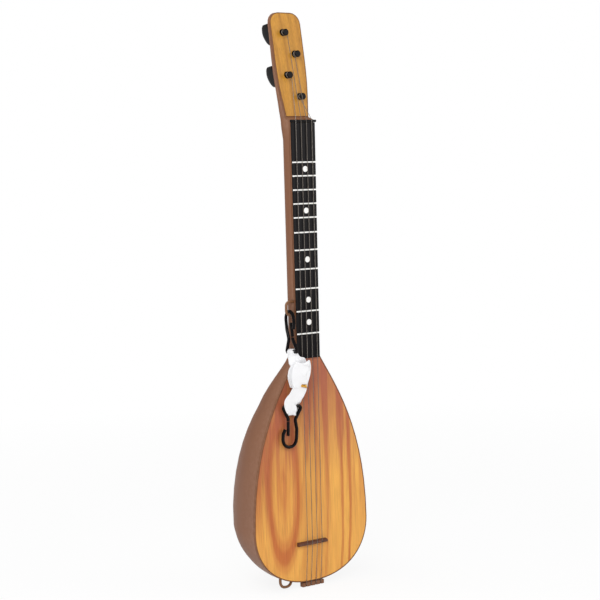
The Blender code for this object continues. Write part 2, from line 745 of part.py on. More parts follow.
def build_winding(index, x, z, clear):
    """Turns of string round a post, one unbroken tube."""
    radius = POST_NECK_RADIUS + GAP + STRING_RADIUS
    string = string_of_peg()[index - 1]
    lx, lz, _ = leave_point(x, z, string_x(string, NUT_PITCH), NUT_MIDDLE_Z, radius)
    start = math.atan2(lz - z, lx - x)
    turn_sign = 1 if x > 0 else -1
    steps = round(WIND_TURNS * WIND_POINTS)
    points = []
    for i in range(steps + 1):
        angle = start + turn_sign * 2 * math.pi * i / WIND_POINTS
        depth = winding_top(z) + WIND_PITCH * i / WIND_POINTS
        points.append((x + radius * math.cos(angle), depth, z + radius * math.sin(angle)))
    tube("string_winding_%d" % index, points, STRING_RADIUS, clear, resolution=1, origin=(x, head_face(z), z))
    least = min(
        (Vector(points[i]) - Vector(points[j])).length
        for i in range(len(points)) for j in range(i + WIND_POINTS // 2, len(points))
    ) - 2 * STRING_RADIUS
    print("string_winding_%d least gap between turns %.2f mm" % (index, least))


def build_string(index, x, z, clear):
    """One string, from its peg over the nut and the bridge to the tail comb."""
    string = string_of_peg()[index - 1]
    nut_x = string_x(string, NUT_PITCH)
    bridge_x = string_x(string, BRIDGE_PITCH)
    radius = POST_NECK_RADIUS + GAP + STRING_RADIUS
    lx, lz, direction = leave_point(x, z, nut_x, NUT_MIDDLE_Z, radius)
    clear_of = POST_DISC_RADIUS + STRING_RADIUS + GAP
    run = math.sqrt(clear_of ** 2 - radius ** 2)
    start_x, start_z = lx + direction.x * run, lz + direction.y * run
    share = run / Vector((nut_x - lx, NUT_MIDDLE_Z - lz)).length
    start_y = winding_top(z) + (STRING_AT_NUT_Y - winding_top(z)) * share
    rim_y = PLATE_FRONT - GAP - STRING_RADIUS - 0.05
    points = [
        (start_x, start_y, start_z),
        (nut_x, STRING_AT_NUT_Y, NUT_LOW_Z + NUT_THICK + 0.4), (nut_x, STRING_AT_NUT_Y, NUT_LOW_Z - 0.7),
        (bridge_x, STRING_AT_BRIDGE_Y, BRIDGE_Z + 0.8), (bridge_x, STRING_AT_BRIDGE_Y, BRIDGE_Z - 0.8),
        (bridge_x, rim_y, TAIL_Z + 2.5), (bridge_x, rim_y, TAIL_Z - 1.6),
        (bridge_x, rim_y + 0.2, TAIL_Z - 2.3),
        (bridge_x, PLATE_FRONT + 0.2, COMB_STRING_Z), (bridge_x, COMB_BACK_Y + 0.1, COMB_STRING_Z),
    ]
    tube("string_%d" % (string + 1), points, STRING_RADIUS, clear)


def build_knot(string, clear):
    """The knot that stops a string behind the comb."""
    x = string_x(string, BRIDGE_PITCH)
    front = COMB_BACK_Y + 2 * GAP
    profile = []
    for i in range(1, 6):
        angle = math.pi * i / 6
        profile.append((KNOT_RADIUS * math.sin(angle), front + 1.3 * (1 - math.cos(angle))))
    make_object("string_knot_%d" % (string + 1), [turned_y(x, COMB_STRING_Z, profile, 10)], clear)


def build_bridge(material):
    crest = STRING_AT_BRIDGE_Y - BRIDGE_ABOVE_STRING
    base = PLATE_FRONT - GAP
    section = [
        (base, -BRIDGE_BASE / 2), (crest + 0.8, -BRIDGE_CREST / 2 - 0.1), (crest, -BRIDGE_CREST / 2 + 0.6),
        (crest, BRIDGE_CREST / 2 - 0.6), (crest + 0.8, BRIDGE_CREST / 2 + 0.1), (base, BRIDGE_BASE / 2),
    ]
    ends = (BRIDGE_SHIFT - BRIDGE_LENGTH / 2, BRIDGE_SHIFT + BRIDGE_LENGTH / 2)
    rings = [[(x, y, BRIDGE_Z + dz) for y, dz in section] for x in ends]
    bridge = make_object("bridge", [loft(rings)], material)
    half = STRING_RADIUS + GAP
    notches = []
    for k in range(STRING_COUNT):
        x = string_x(k, BRIDGE_PITCH)
        notches.append(box(x - half, x + half, crest - 1.0, STRING_AT_BRIDGE_Y + half,
                           BRIDGE_Z - BRIDGE_BASE, BRIDGE_Z + BRIDGE_BASE))
    cut(bridge, notches)


def comb_foot_depths():
    """Front and back of the comb's foot, which passes through the shell's rim."""
    return PARTING_Y + RUNNING, PARTING_Y + RUNNING + COMB_FLANGE_THICK


def build_tail_comb(material):
    """String holder: five teeth below the rim on a foot that is trapped inside the bowl."""
    foot_front, foot_back = comb_foot_depths()
    comb = make_object(
        "tail_comb",
        [box(-COMB_HALF_WIDTH, COMB_HALF_WIDTH, PLATE_FRONT, COMB_BACK_Y, COMB_LOW_Z, COMB_TOP_Z)], material,
    )
    flange_low = TAIL_Z + SHELL_WALL + 0.9
    flange_top = flange_low + COMB_FLANGE_THICK
    right = [(COMB_NECK_HALF, COMB_TOP_Z - 0.8), (COMB_NECK_HALF, flange_low),
             (COMB_FLANGE_HALF, flange_low), (COMB_FLANGE_HALF, flange_top)]
    foot = prism(right + [(-x, z) for x, z in reversed(right)], foot_front, foot_back)
    add_solid(comb, [foot])
    half = STRING_RADIUS + RUNNING
    slots = []
    for k in range(STRING_COUNT):
        x = string_x(k, BRIDGE_PITCH)
        slots.append(box(x - half, x + half, PLATE_FRONT - 1.0, COMB_BACK_Y + 1.0,
                         COMB_LOW_Z - 1.0, COMB_SLOT_TOP_Z))
    cut(comb, slots)


def build_loops(material):
    """The two moulded strap loops, on the neck's left side and at the tail."""
    reach, bar, half = -NECK_LOOP_REACH, -NECK_LOOP_BAR, NECK_LOOP_HALF
    corners = [(bar, NECK_LOOP_Z + half, 2.0), (bar, NECK_LOOP_Z - half, 2.0),
               (reach, NECK_LOOP_Z - half, 4.3), (reach, NECK_LOOP_Z + half, 4.3)]
    path = [(x, LOOP_Y, z) for x, z in fillet_path(corners, closed=True)]
    tube("neck_strap_loop", path, LOOP_ROD, material, closed=True)
    left, right = TAIL_LOOP_X - TAIL_LOOP_HALF, TAIL_LOOP_X + TAIL_LOOP_HALF
    corners = [(left, TAIL_LOOP_BAR_Z, 2.0), (right, TAIL_LOOP_BAR_Z, 2.0),
               (right, TAIL_LOOP_LOW_Z, 6.4), (left, TAIL_LOOP_LOW_Z, 6.4)]
    path = [(x, LOOP_Y, z) for x, z in fillet_path(corners, closed=True)]
    tube("tail_strap_loop", path, LOOP_ROD, material, closed=True)


def hook_path():
    """Centre line of a snap hook in its own plane: across the bar, then down to the bend."""
    bend_right = HOOK_BEND_SHIFT + HOOK_BEND
    bend_left = HOOK_BEND_SHIFT - HOOK_BEND
    corners = [
        (-HOOK_WAIST_HALF, TONGUE_ROOT - 0.6, 0.0), (-HOOK_WAIST_HALF, HOOK_WAIST - 1.0, 4.0),
        (-HOOK_BAR_HALF, 0.0, 2.2), (HOOK_BAR_HALF, 0.0, 2.2), (HOOK_WAIST_HALF, HOOK_WAIST, 5.0),
        (bend_right, HOOK_LENGTH - 20.0, 8.0), (bend_right, HOOK_LENGTH, HOOK_BEND - 0.1),
        (bend_left, HOOK_LENGTH, HOOK_BEND - 0.1), (bend_left, HOOK_LENGTH - 14.6, 3.5),
        (bend_left + HOOK_TIP_IN, HOOK_LENGTH - 20.0, 0.0),
    ]
    return fillet_path(corners)


def tongue_path():
    return [(-HOOK_WAIST_HALF, TONGUE_ROOT), (-HOOK_WAIST_HALF + 0.2, 22.0), (-HOOK_WAIST_HALF + 0.6, 27.5),
            (-HOOK_WAIST_HALF + 0.6, 30.5), (-HOOK_WAIST_HALF + 0.4, TONGUE_TIP)]


def place(path, centre, along_u, along_v):
    """Puts a path of (u, v) points into space."""
    c, u, v = Vector(centre), Vector(along_u), Vector(along_v)
    return [tuple(c + u * a + v * b) for a, b in path]


def neck_loop_pivot():
    return UPPER_HOOK_X, LOOP_Y, NECK_LOOP_Z - NECK_LOOP_HALF


def upper_hook_frame():
    """Bar centre and directions of the hook that hangs in the neck loop, bar lowest."""
    turn = math.radians(UPPER_HOOK_TURN)
    across = Vector((math.sin(turn), math.cos(turn), 0.0))
    pivot = Vector(neck_loop_pivot())
    inner_top = pivot.z + LOOP_ROD + RUNNING
    bar_z = inner_top + HOOK_ROD - HOOK_LENGTH
    centre = Vector((pivot.x, pivot.y, bar_z)) - across * HOOK_BEND_SHIFT
    lean = Matrix.Rotation(math.radians(-UPPER_HOOK_LEAN), 3, "X")
    return pivot + lean @ (centre - pivot), lean @ across, lean @ Vector((0.0, 0.0, 1.0))


def lower_hook_frame():
    tilt = math.radians(LOWER_HOOK_TILT)
    across = Vector((math.cos(tilt), 0.0, -math.sin(tilt)))
    down = Vector((-math.sin(tilt), 0.0, -math.cos(tilt)))
    return Vector(LOWER_HOOK_CENTRE), across, down


def build_hook(name, frame, origin, black):
    """A moulded snap hook and its springy tongue."""
    centre, across, along = frame
    tube(name, place(hook_path(), centre, across, along), HOOK_ROD, black, origin=origin)
    root = centre - across * HOOK_WAIST_HALF + along * TONGUE_ROOT
    path = place(tongue_path(), centre, across, along)
    tube(name + "_tongue", path, TONGUE_ROD, black, origin=tuple(root))


def strap_sections():
    """(centre, half-width, half-thickness, turn in degrees) down the folded strap."""
    upper, _, _ = upper_hook_frame()
    lower = Vector(LOWER_HOOK_CENTRE)
    top = upper.z
    return [
        ((upper.x, upper.y, top + 1.5), STRAP_RING_HALF, 3.0, 98.0),
        ((upper.x - 0.3, upper.y - 0.8, top - 2.5), 8.6, 3.4, 92.0),
        ((-22.1, -0.6, top - 6.0), 10.0, 3.2, 64.0),
        ((-21.5, -4.4, top - 8.5), 11.0, 3.3, 36.0),
        ((-18.8, -7.2, top - 10.8), 14.0, 3.5, 10.0),
        ((-18.3, -7.6, top - 14.4), 15.0, 3.9, 0.0),
        ((-19.6, -7.8, -280.0), 15.4, 4.1, 0.0),
        ((-20.9, -7.6, -287.5), 14.2, 3.9, 0.0),
        ((-21.3, -7.4, -293.0), 11.6, 3.6, 0.0),
        ((-22.0, -7.2, -296.0), 10.5, 3.3, 0.0),
        ((-23.6, -6.6, -301.0), 10.6, 3.1, 0.0),
        ((-26.4, -5.4, -306.5), 11.8, 3.2, -2.0),
        ((-28.4, -3.6, -311.0), 12.6, 3.4, -4.0),
        ((lower.x - 0.4, -2.8, lower.z + 3.0), 10.4, 3.5, -4.0),
        ((lower.x, lower.y - 0.3, lower.z), 9.3, 3.5, -4.0),
        ((lower.x - 0.4, lower.y - 0.2, lower.z - 4.0), 7.7, 3.2, -4.0),
        ((lower.x - 0.6, lower.y - 0.1, lower.z - 8.0), 5.5, 2.7, -4.0),
        ((lower.x - 0.8, lower.y, lower.z - 10.2), 3.8, 1.9, -4.0),
    ]


def strap_ring(centre, half, thick, turn, steps=20):
    angle = math.radians(-turn)
    points = []
    for i in range(steps):
        a = 2 * math.pi * i / steps
        u = half * math.copysign(abs(math.cos(a)) ** 0.55, math.cos(a))
        v = thick * math.copysign(abs(math.sin(a)) ** 0.7, math.sin(a))
        points.append((
            centre[0] + u * math.cos(angle) - v * math.sin(angle),
            centre[1] + u * math.sin(angle) + v * math.cos(angle),
            centre[2],
        ))
    return points


def rod_between(start, end, radius, steps=16):
    """A round rod along any direction, as a solid part."""
    a, b = Vector(start), Vector(end)
    axis = (b - a).normalized()
    side = axis.orthogonal().normalized()
    up = axis.cross(side)
    spokes = []
    for i in range(steps):
        angle = 2 * math.pi * i / steps
        spokes.append((side * math.cos(angle) + up * math.sin(angle)) * radius)
    return loft([[tuple(centre + spoke) for spoke in spokes] for centre in (a, b)])


def build_strap(white):
    """White webbing looped over both hooks' bars and folded between them."""
    upper, across, _ = upper_hook_frame()
    strap = make_object("strap", [loft([strap_ring(*section) for section in strap_sections()])], white,
                        origin=tuple(upper))
    ring = HOOK_ROD + STRAP_LOOP_PLAY + WEB_THICK
    side = across * STRAP_RING_HALF
    add_solid(strap, [rod_between(upper - side, upper + side, ring, 20)])
    lower, lower_across, _ = lower_hook_frame()
    cut(strap, [
        rod_between(upper - across * 30.0, upper + across * 30.0, HOOK_ROD + STRAP_LOOP_PLAY, 20),
        rod_between(lower - lower_across * 30.0, lower + lower_across * 30.0, HOOK_ROD + RUNNING, 20),
    ])


def build_twist_tie(gold):
    """A wire tie round the strap's waist."""
    centre, half, thick, _ = strap_sections()[9]
    clear = TIE_ROD + GAP
    path = [(x, y, z - 0.10 * (x - centre[0]))
            for x, y, z in strap_ring(centre, half + clear + 0.4, thick + clear + 0.4, 0.0, 28)]
    tube("twist_tie", path, TIE_ROD, gold, closed=True)


def build_screws(steel):
    for k, z in enumerate(SCREW_Z, 1):
        head_front = SCREW_WELL_FLOOR_Y + GAP
        head_back = head_front + SCREW_HEAD_THICK
        profile = [
            (0.3, SCREW_TIP_Y), (SCREW_SHANK_RADIUS, SCREW_TIP_Y + 2.0), (SCREW_SHANK_RADIUS, head_front),
            (SCREW_HEAD_RADIUS, head_front), (SCREW_HEAD_RADIUS, head_back - 0.6),
            (SCREW_HEAD_RADIUS - 0.8, head_back),
        ]
        screw = make_object("neck_screw_%d" % k, [turned_y(0, z, profile)], steel, origin=(0, head_back, z))
        arm, reach = 0.4, 1.7
        cross = [(arm, arm), (reach, arm), (reach, -arm), (arm, -arm), (arm, -reach), (-arm, -reach),
                 (-arm, -arm), (-reach, -arm), (-reach, arm), (-arm, arm), (-arm, reach), (arm, reach)]
        cut(screw, [prism([(x, z + dz) for x, dz in cross], head_back - 0.9, head_back + 1.0)])


def main():
    clear_scene()
    brown = make_material("moulded_brown", (0.200, 0.098, 0.061), 0.42)
    grain = make_material("wood_grain_film", (0.600, 0.280, 0.080), 0.25)
    black = make_material("black_plastic", (0.012, 0.011, 0.012), 0.28)
    white = make_material("white_plastic", (0.800, 0.800, 0.800), 0.40)
    bridge_wood = make_material("stained_wood", (0.130, 0.035, 0.015), 0.60)
    clear = make_material("clear_nylon", (0.700, 0.680, 0.640), 0.20)
    webbing = make_material("white_webbing", (0.850, 0.850, 0.860), 0.85)
    gold = make_material("gold_tie", (0.700, 0.430, 0.080), 0.35, 0.6)
    steel = make_material("zinc_steel", (0.600, 0.600, 0.600), 0.30, 1.0)

    build_back_shell(brown)
    build_front_shell(brown)
    build_films(grain)
    build_fretboard(black, white)
    build_nut(black)
    for k, (x, z) in enumerate(peg_centres(), 1):
        build_peg(k, x, z, black)
        build_collar(k, x, z, black)
        build_winding(k, x, z, clear)
        build_string(k, x, z, clear)
    for string in range(STRING_COUNT):
        build_knot(string, clear)
    build_bridge(bridge_wood)
    build_tail_comb(brown)
    build_loops(brown)
    build_hook("upper_hook", upper_hook_frame(), neck_loop_pivot(), black)
    build_hook("lower_hook", lower_hook_frame(), LOWER_HOOK_CENTRE, black)
    build_strap(webbing)
    build_twist_tie(gold)
    build_screws(steel)


main()
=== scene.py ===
"""Dresses the toy saz for a picture: printed wood-grain films, satin brown shells, glossy black
pegs and hooks, clear strings and a strap of folded white webbing, on a plain pale stage."""

import math

import bmesh
import bpy
from mathutils import Matrix, Vector


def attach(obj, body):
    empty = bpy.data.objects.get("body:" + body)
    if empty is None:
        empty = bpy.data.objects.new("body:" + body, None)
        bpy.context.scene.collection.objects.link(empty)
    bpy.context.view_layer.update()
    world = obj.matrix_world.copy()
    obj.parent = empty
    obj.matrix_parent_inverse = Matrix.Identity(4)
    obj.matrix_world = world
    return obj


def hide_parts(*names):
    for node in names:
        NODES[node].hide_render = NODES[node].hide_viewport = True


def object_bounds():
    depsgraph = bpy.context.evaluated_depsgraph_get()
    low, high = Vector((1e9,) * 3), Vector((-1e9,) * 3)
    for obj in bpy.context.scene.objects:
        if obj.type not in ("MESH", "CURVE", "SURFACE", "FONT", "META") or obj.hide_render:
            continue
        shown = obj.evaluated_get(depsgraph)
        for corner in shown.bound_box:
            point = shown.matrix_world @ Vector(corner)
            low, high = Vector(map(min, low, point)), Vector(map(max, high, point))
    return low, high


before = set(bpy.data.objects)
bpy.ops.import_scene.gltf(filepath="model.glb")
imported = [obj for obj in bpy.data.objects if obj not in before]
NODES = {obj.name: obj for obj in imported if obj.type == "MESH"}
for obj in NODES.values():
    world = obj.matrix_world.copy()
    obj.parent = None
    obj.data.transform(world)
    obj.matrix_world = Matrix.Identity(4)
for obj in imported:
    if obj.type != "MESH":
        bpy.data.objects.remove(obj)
CAD_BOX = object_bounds()

bl_info = {
    "name": "Toy Saz",
    "version": (1, 0, 0),
    "blender": (4, 5, 0),
    "location": "View3D > Sidebar > Saz",
    "description": "Finishes a toy saz: shells, films, fretboard, pegs, strings, hooks and strap",
    "category": "Object",
}

MM = 0.001


# Materials


def linear(colour):
    """An sRGB hex value as linear red, green, blue and alpha; a colour property is linear as it
    comes."""
    if not isinstance(colour, str):
        return (*colour, 1.0)
    channels = [int(colour[i:i + 2], 16) / 255 for i in (1, 3, 5)]
    bright = [c / 12.92 if c <= 0.04045 else ((c + 0.055) / 1.055) ** 2.4 for c in channels]
    return (*bright, 1.0)


def join(tree, value, socket):
    """Links a node or one of its outputs to a socket, or writes a number or a colour there."""
    if isinstance(value, bpy.types.Node):
        value = next(output for output in value.outputs if output.enabled)
    if isinstance(value, bpy.types.NodeSocket):
        tree.links.new(value, socket)
    else:
        socket.default_value = value


def set_stops(ramp, stops):
    """Fills a colour ramp; each stop is a place from 0 to 1 and a hex colour or a grey level."""
    while len(ramp.elements) > 1:
        ramp.elements.remove(ramp.elements[-1])
    for i, (place, colour) in enumerate(stops):
        element = ramp.elements[0] if i == 0 else ramp.elements.new(place)
        element.position = place
        element.color = linear(colour) if isinstance(colour, str) else (colour, colour, colour, 1.0)


def add(tree, kind, *values, **named):
    """Adds a node with its settings and links. Plain values fill its open sockets in order; a name
    with a capital is a socket, and a name in small letters is a setting."""
    node = tree.nodes.new("ShaderNode" + kind)
    holder = node.color_ramp if kind == "ValToRGB" else node
    for name, value in named.items():
        if name == "stops":
            set_stops(holder, value)
        elif name.islower():
            setattr(holder, name, value)
    sockets = [socket for socket in node.inputs if socket.enabled]
    for socket, value in zip(sockets, values):
        join(tree, value, socket)
    by_name = {socket.name.replace(" ", "_"): socket for socket in sockets}
    for name, value in named.items():
        if not name.islower():
            join(tree, value, by_name[name])
    return node


def new_material(name, colour, roughness, **constants):
    """A material, its nodes and its shader, with what is the same all over set on the shader."""
    material = bpy.data.materials.new(name)
    material.use_nodes = True
    tree = material.node_tree
    shader = tree.nodes["Principled BSDF"]
    shader.inputs["Base Color"].default_value = linear(colour)
    shader.inputs["Roughness"].default_value = roughness
    for key, value in constants.items():
        shader.inputs[key.replace("_", " ")].default_value = value
    return material, tree, shader


def surface(tree, shader, colour=None, roughness=None, relief=None):
    """Joins a finish's patterns to its shader: a colour; a pattern with the lowest and the highest
    roughness; and a pattern from 0 to 1 with the depth of its relief in millimetres."""
    if colour is not None:
        join(tree, colour, shader.inputs["Base Color"])
    if roughness is not None:
        pattern, low, high = roughness
        spread = add(tree, "MapRange", pattern, To_Min=low, To_Max=high)
        join(tree, spread, shader.inputs["Roughness"])
    if relief is not None:
        pattern, depth = relief
        raised = add(tree, "Bump", Height=pattern, Distance=depth * MM, Strength=1.0)
        join(tree, raised, shader.inputs["Normal"])


def millimetres(tree):
    """The object's own coordinates, counted in millimetres."""
    place = add(tree, "TexCoord").outputs["Object"]
    return add(tree, "VectorMath", place, 1 / MM, operation="SCALE")


def streaks(tree, place, across, along, detail=2.0):
    """Noise drawn out into soft streaks along the neck; across and along are the streaks' size in
    millimetres."""
    drawn_out = add(tree, "Mapping", place, Scale=(1 / across, 1 / across, 1 / along))
    return add(tree, "TexNoise", drawn_out, Scale=1.0, Detail=detail)


def satin_brown_abs(name, colour, shade, edge_highlight):
    """ABS moulded in brown and sprayed satin: soft broad highlights, a fine orange peel and a
    slight cloudiness; along its edges a paler colour is painted in patches as a highlight."""
    cloud_size, highlight_patch_size, peel_size, peel_depth = 55, 4, 1.6, 0.02
    material, tree, shader = new_material(name, colour, 0.48, Specular_IOR_Level=0.14)
    place = millimetres(tree)
    clouds = add(tree, "TexNoise", place, Scale=1 / cloud_size, Detail=3.0)
    mottled = add(tree, "Mix", clouds, linear(shade), linear(colour), data_type="RGBA")
    # painted highlight: sharp edges are coloured paler, in patches, in place of light caught along
    # them
    edges = add(tree, "NewGeometry").outputs["Pointiness"]
    rim = add(tree, "ValToRGB", edges, stops=[(0.52, 0.0), (0.60, 1.0)])
    highlight_patches = add(tree, "TexNoise", place, Scale=1 / highlight_patch_size, Detail=4.0)
    highlight_patches = add(tree, "Math", highlight_patches, 0.7, operation="MULTIPLY")
    painted_edge_highlight = add(tree, "Math", rim, highlight_patches, operation="MULTIPLY")
    final = add(tree, "Mix", painted_edge_highlight, mottled, linear(edge_highlight), data_type="RGBA")
    peel = add(tree, "TexNoise", place, Scale=1 / peel_size, Detail=2.0)
    surface(tree, shader, final, (clouds, 0.40, 0.54), (peel, peel_depth))
    return material


def printed_spruce(name, golden, russet, rings, heart, draw, reach):
    """Paper film printed as flat-sawn softwood under a clear gloss: red-brown late wood between
    golden bands, closing into long ovals round a heart. rings holds how far out each ring lies in
    millimetres and how much late wood it shows, heart is the ovals' middle (x, z), draw how many
    times longer than wide they are, and reach how far out the rings may be."""
    material, tree, shader = new_material(
        name, golden, 0.36, Specular_IOR_Level=0.22, Coat_Weight=0.06, Coat_Roughness=0.15)
    place = millimetres(tree)
    axes = add(tree, "SeparateXYZ", place)
    x = add(tree, "Math", axes.outputs["X"], heart[0], operation="SUBTRACT")
    # the rings sway, broadly and then finely: streaks across and along, and how far they push
    for across, along, push in ((28.0, 95.0, 4.5), (7.0, 38.0, 1.8)):
        sway = streaks(tree, place, across, along)
        sway = add(tree, "Math", sway, 0.5, operation="SUBTRACT")
        x = add(tree, "Math", sway, push, x, operation="MULTIPLY_ADD")
    z = add(tree, "Math", axes.outputs["Z"], heart[1], operation="SUBTRACT")
    z = add(tree, "Math", z, draw, operation="DIVIDE")
    squares = [add(tree, "Math", side, side, operation="MULTIPLY") for side in (x, z)]
    ring = add(tree, "Math", *squares, operation="ADD")
    ring = add(tree, "Math", ring, operation="SQRT")
    ring = add(tree, "Math", ring, reach, operation="DIVIDE")
    stops = [(out / reach, late) for out, late in rings]
    late = add(tree, "ValToRGB", ring, stops=stops, interpolation="EASE")
    fibre = streaks(tree, place, 1.5, 60.0, detail=3.0)
    fibre = add(tree, "Math", fibre, 0.5, operation="SUBTRACT")
    late = add(tree, "Math", fibre, 0.55, late, operation="MULTIPLY_ADD")
    late = add(tree, "Clamp", late)
    wood = add(tree, "Mix", late, linear(golden), linear(russet), data_type="RGBA")
    return material, tree, shader, place, wood


def close_print(tree, shader, place, wood):
    """Fine dark threads over the print, and the gloss coat's slight unevenness."""
    threads = streaks(tree, place, 0.7, 26.0)
    dark = add(tree, "ValToRGB", threads, stops=[(0.30, 0.80), (0.55, 1.0)])
    final = add(tree, "Mix", 1.0, wood, dark, data_type="RGBA", blend_type="MULTIPLY")
    surface(tree, shader, final, relief=(threads, 0.015))


def soundboard_print():
    """The body's film: ovals left of the strings, straight stripes right, redder to the neck."""
    rings = (
        (0.0, 0.55), (4.0, 0.62), (8.0, 0.40), (11.0, 0.26), (14.0, 0.30), (17.0, 0.70),
        (19.5, 1.0), (21.5, 0.96), (24.0, 0.50), (26.5, 0.12), (30.0, 0.04), (33.0, 0.28),
        (40.0, 0.20), (48.5, 0.24), (51.0, 0.50), (54.0, 0.22), (60.5, 0.26), (62.5, 0.55),
        (65.5, 0.14), (72.0, 0.0), (77.0, 0.08), (81.6, 0.16), (82.8, 0.68), (84.8, 0.60),
        (86.0, 0.06), (91.8, 0.10), (93.0, 0.86), (95.0, 0.76), (96.4, 0.06), (102.0, 0.0),
    )
    material, tree, shader, place, wood = printed_spruce(
        "glossed wood-grain film, soundboard", "#e8ab52", "#bd6a34", rings,
        heart=(-38.5, -410.0), draw=3.9, reach=120.0)
    axes = add(tree, "SeparateXYZ", place)
    clouds = streaks(tree, place, 14.0, 60.0)
    # a browner band along the left edge, fading out towards the tail; it is partly the print's
    # colour and partly painted shade
    outer = add(tree, "MapRange", axes.outputs["X"], From_Min=-47.0, From_Max=-60.0)
    above = add(tree, "MapRange", axes.outputs["Z"], From_Min=-465.0, From_Max=-400.0)
    left_brown_and_shade_band = add(tree, "Math", outer, above, operation="MULTIPLY")
    patchy = add(tree, "Math", clouds, 0.7, 0.35, operation="MULTIPLY_ADD")
    left_brown_and_shade_band = add(tree, "Math", left_brown_and_shade_band, patchy, operation="MULTIPLY")
    wood = add(tree, "Mix", left_brown_and_shade_band, wood, linear("#a85f36"), data_type="RGBA")
    # long red flames that grow stronger up the body
    flames = streaks(tree, place, 6.5, 150.0, detail=1.5)
    flames = add(tree, "ValToRGB", flames, stops=[(0.48, 0.0), (0.56, 1.0)], interpolation="EASE")
    strength = add(tree, "MapRange", axes.outputs["Z"],
                   From_Min=-470.0, From_Max=-320.0, To_Min=0.12, To_Max=0.75)
    flames = add(tree, "Math", flames, strength, operation="MULTIPLY")
    wood = add(tree, "Mix", flames, wood, linear("#b4603c"), data_type="RGBA")
    # the whole print reddens between the body's middle and the neck
    height = add(tree, "MapRange", axes.outputs["Z"], From_Min=-405.0, From_Max=-290.0)
    patchy = add(tree, "Math", clouds, 0.4, 0.62, operation="MULTIPLY_ADD")
    redder = add(tree, "Math", height, patchy, operation="MULTIPLY")
    wood = add(tree, "Mix", redder, wood, linear("#a05845"), data_type="RGBA")
    close_print(tree, shader, place, wood)
    return material


def headstock_print():
    """The headstock's film: paler and yellower, with a few soft brown streaks."""
    rings = (
        (0.0, 0.15), (7.0, 0.10), (11.0, 0.42), (13.5, 0.12), (20.0, 0.08), (23.5, 0.50),
        (26.0, 0.16), (31.0, 0.10), (35.0, 0.38), (39.0, 0.12), (44.0, 0.45), (50.0, 0.10),
    )
    material, tree, shader, place, wood = printed_spruce(
        "glossed wood-grain film, headstock", "#d3983a", "#855018", rings,
        heart=(-26.0, 40.0), draw=6.0, reach=50.0)
    clouds = streaks(tree, place, 9.0, 45.0)
    soft = add(tree, "Math", clouds, 0.5, operation="MULTIPLY")
    wood = add(tree, "Mix", soft, wood, linear("#b47a30"), data_type="RGBA")
    close_print(tree, shader, place, wood)
    return material


def gloss_black_abs(name, colour, roughness, scuff):
    """Polished black ABS: near-black with a clear, sharp gloss, broken by faint handling marks."""
    smear_size, ripple_size, ripple_depth = 9, 6, 0.02
    material, tree, shader = new_material(name, colour, roughness, Specular_IOR_Level=0.09)
    place = millimetres(tree)
    smears = add(tree, "TexNoise", place, Scale=1 / smear_size, Detail=5.0, Roughness=0.6)
    dust = add(tree, "ValToRGB", smears, stops=[(0.35, 1.0), (0.75, 0.0)])
    dusty = add(tree, "Mix", dust, linear("#131112"), linear(colour), data_type="RGBA")
    ripple = add(tree, "TexNoise", place, Scale=1 / ripple_size, Detail=1.0)
    surface(tree, shader, dusty, (smears, roughness - 0.06, roughness + scuff),
            (ripple, ripple_depth))
    return material


def white_abs():
    """Moulded white ABS: bright and slightly creamy, with a soft gloss."""
    cloud_size = 3
    material, tree, shader = new_material("moulded white ABS", "#f8f7f4", 0.35)
    clouds = add(tree, "TexNoise", millimetres(tree), Scale=1 / cloud_size, Detail=3.0)
    creamy = add(tree, "Mix", clouds, linear("#f1efea"), linear("#fcfbf9"), data_type="RGBA")
    surface(tree, shader, creamy, (clouds, 0.28, 0.42))
    return material


def clear_nylon():
    """Drawn nylon line: clear, faintly milky, with a bright line of light along it; a grey-brown
    tint paints shade into it, so that it reads darker over the wood.
    """
    # painted shade: the grey-brown base colour darkens the half-clear line so that it reads dark
    # over the wood
    material, tree, shader = new_material(
        "drawn clear nylon", "#8c8278", 0.14, IOR=1.53, Transmission_Weight=0.5)
    drawn = streaks(tree, millimetres(tree), 0.5, 8.0)
    surface(tree, shader, roughness=(drawn, 0.10, 0.24))
    return material


def stained_beech():
    """Sawn beech under a thin dark red stain: matt, with short dark pores and open grain."""
    pore_length, pore_width, pore_depth = 9, 0.9, 0.18
    material, tree, shader = new_material("stained sawn beech", "#5b3423", 0.68)
    scale = (1 / pore_length, 1 / pore_width, 1 / pore_width)
    along = add(tree, "Mapping", millimetres(tree), Scale=scale)
    pores = add(tree, "TexNoise", along, Scale=1.0, Detail=5.0, Roughness=0.65)
    stops = [(0.30, "#341a10"), (0.50, "#5b3423"), (0.72, "#7d4d33")]
    colour = add(tree, "ValToRGB", pores, stops=stops)
    surface(tree, shader, colour, relief=(pores, pore_depth))
    return material


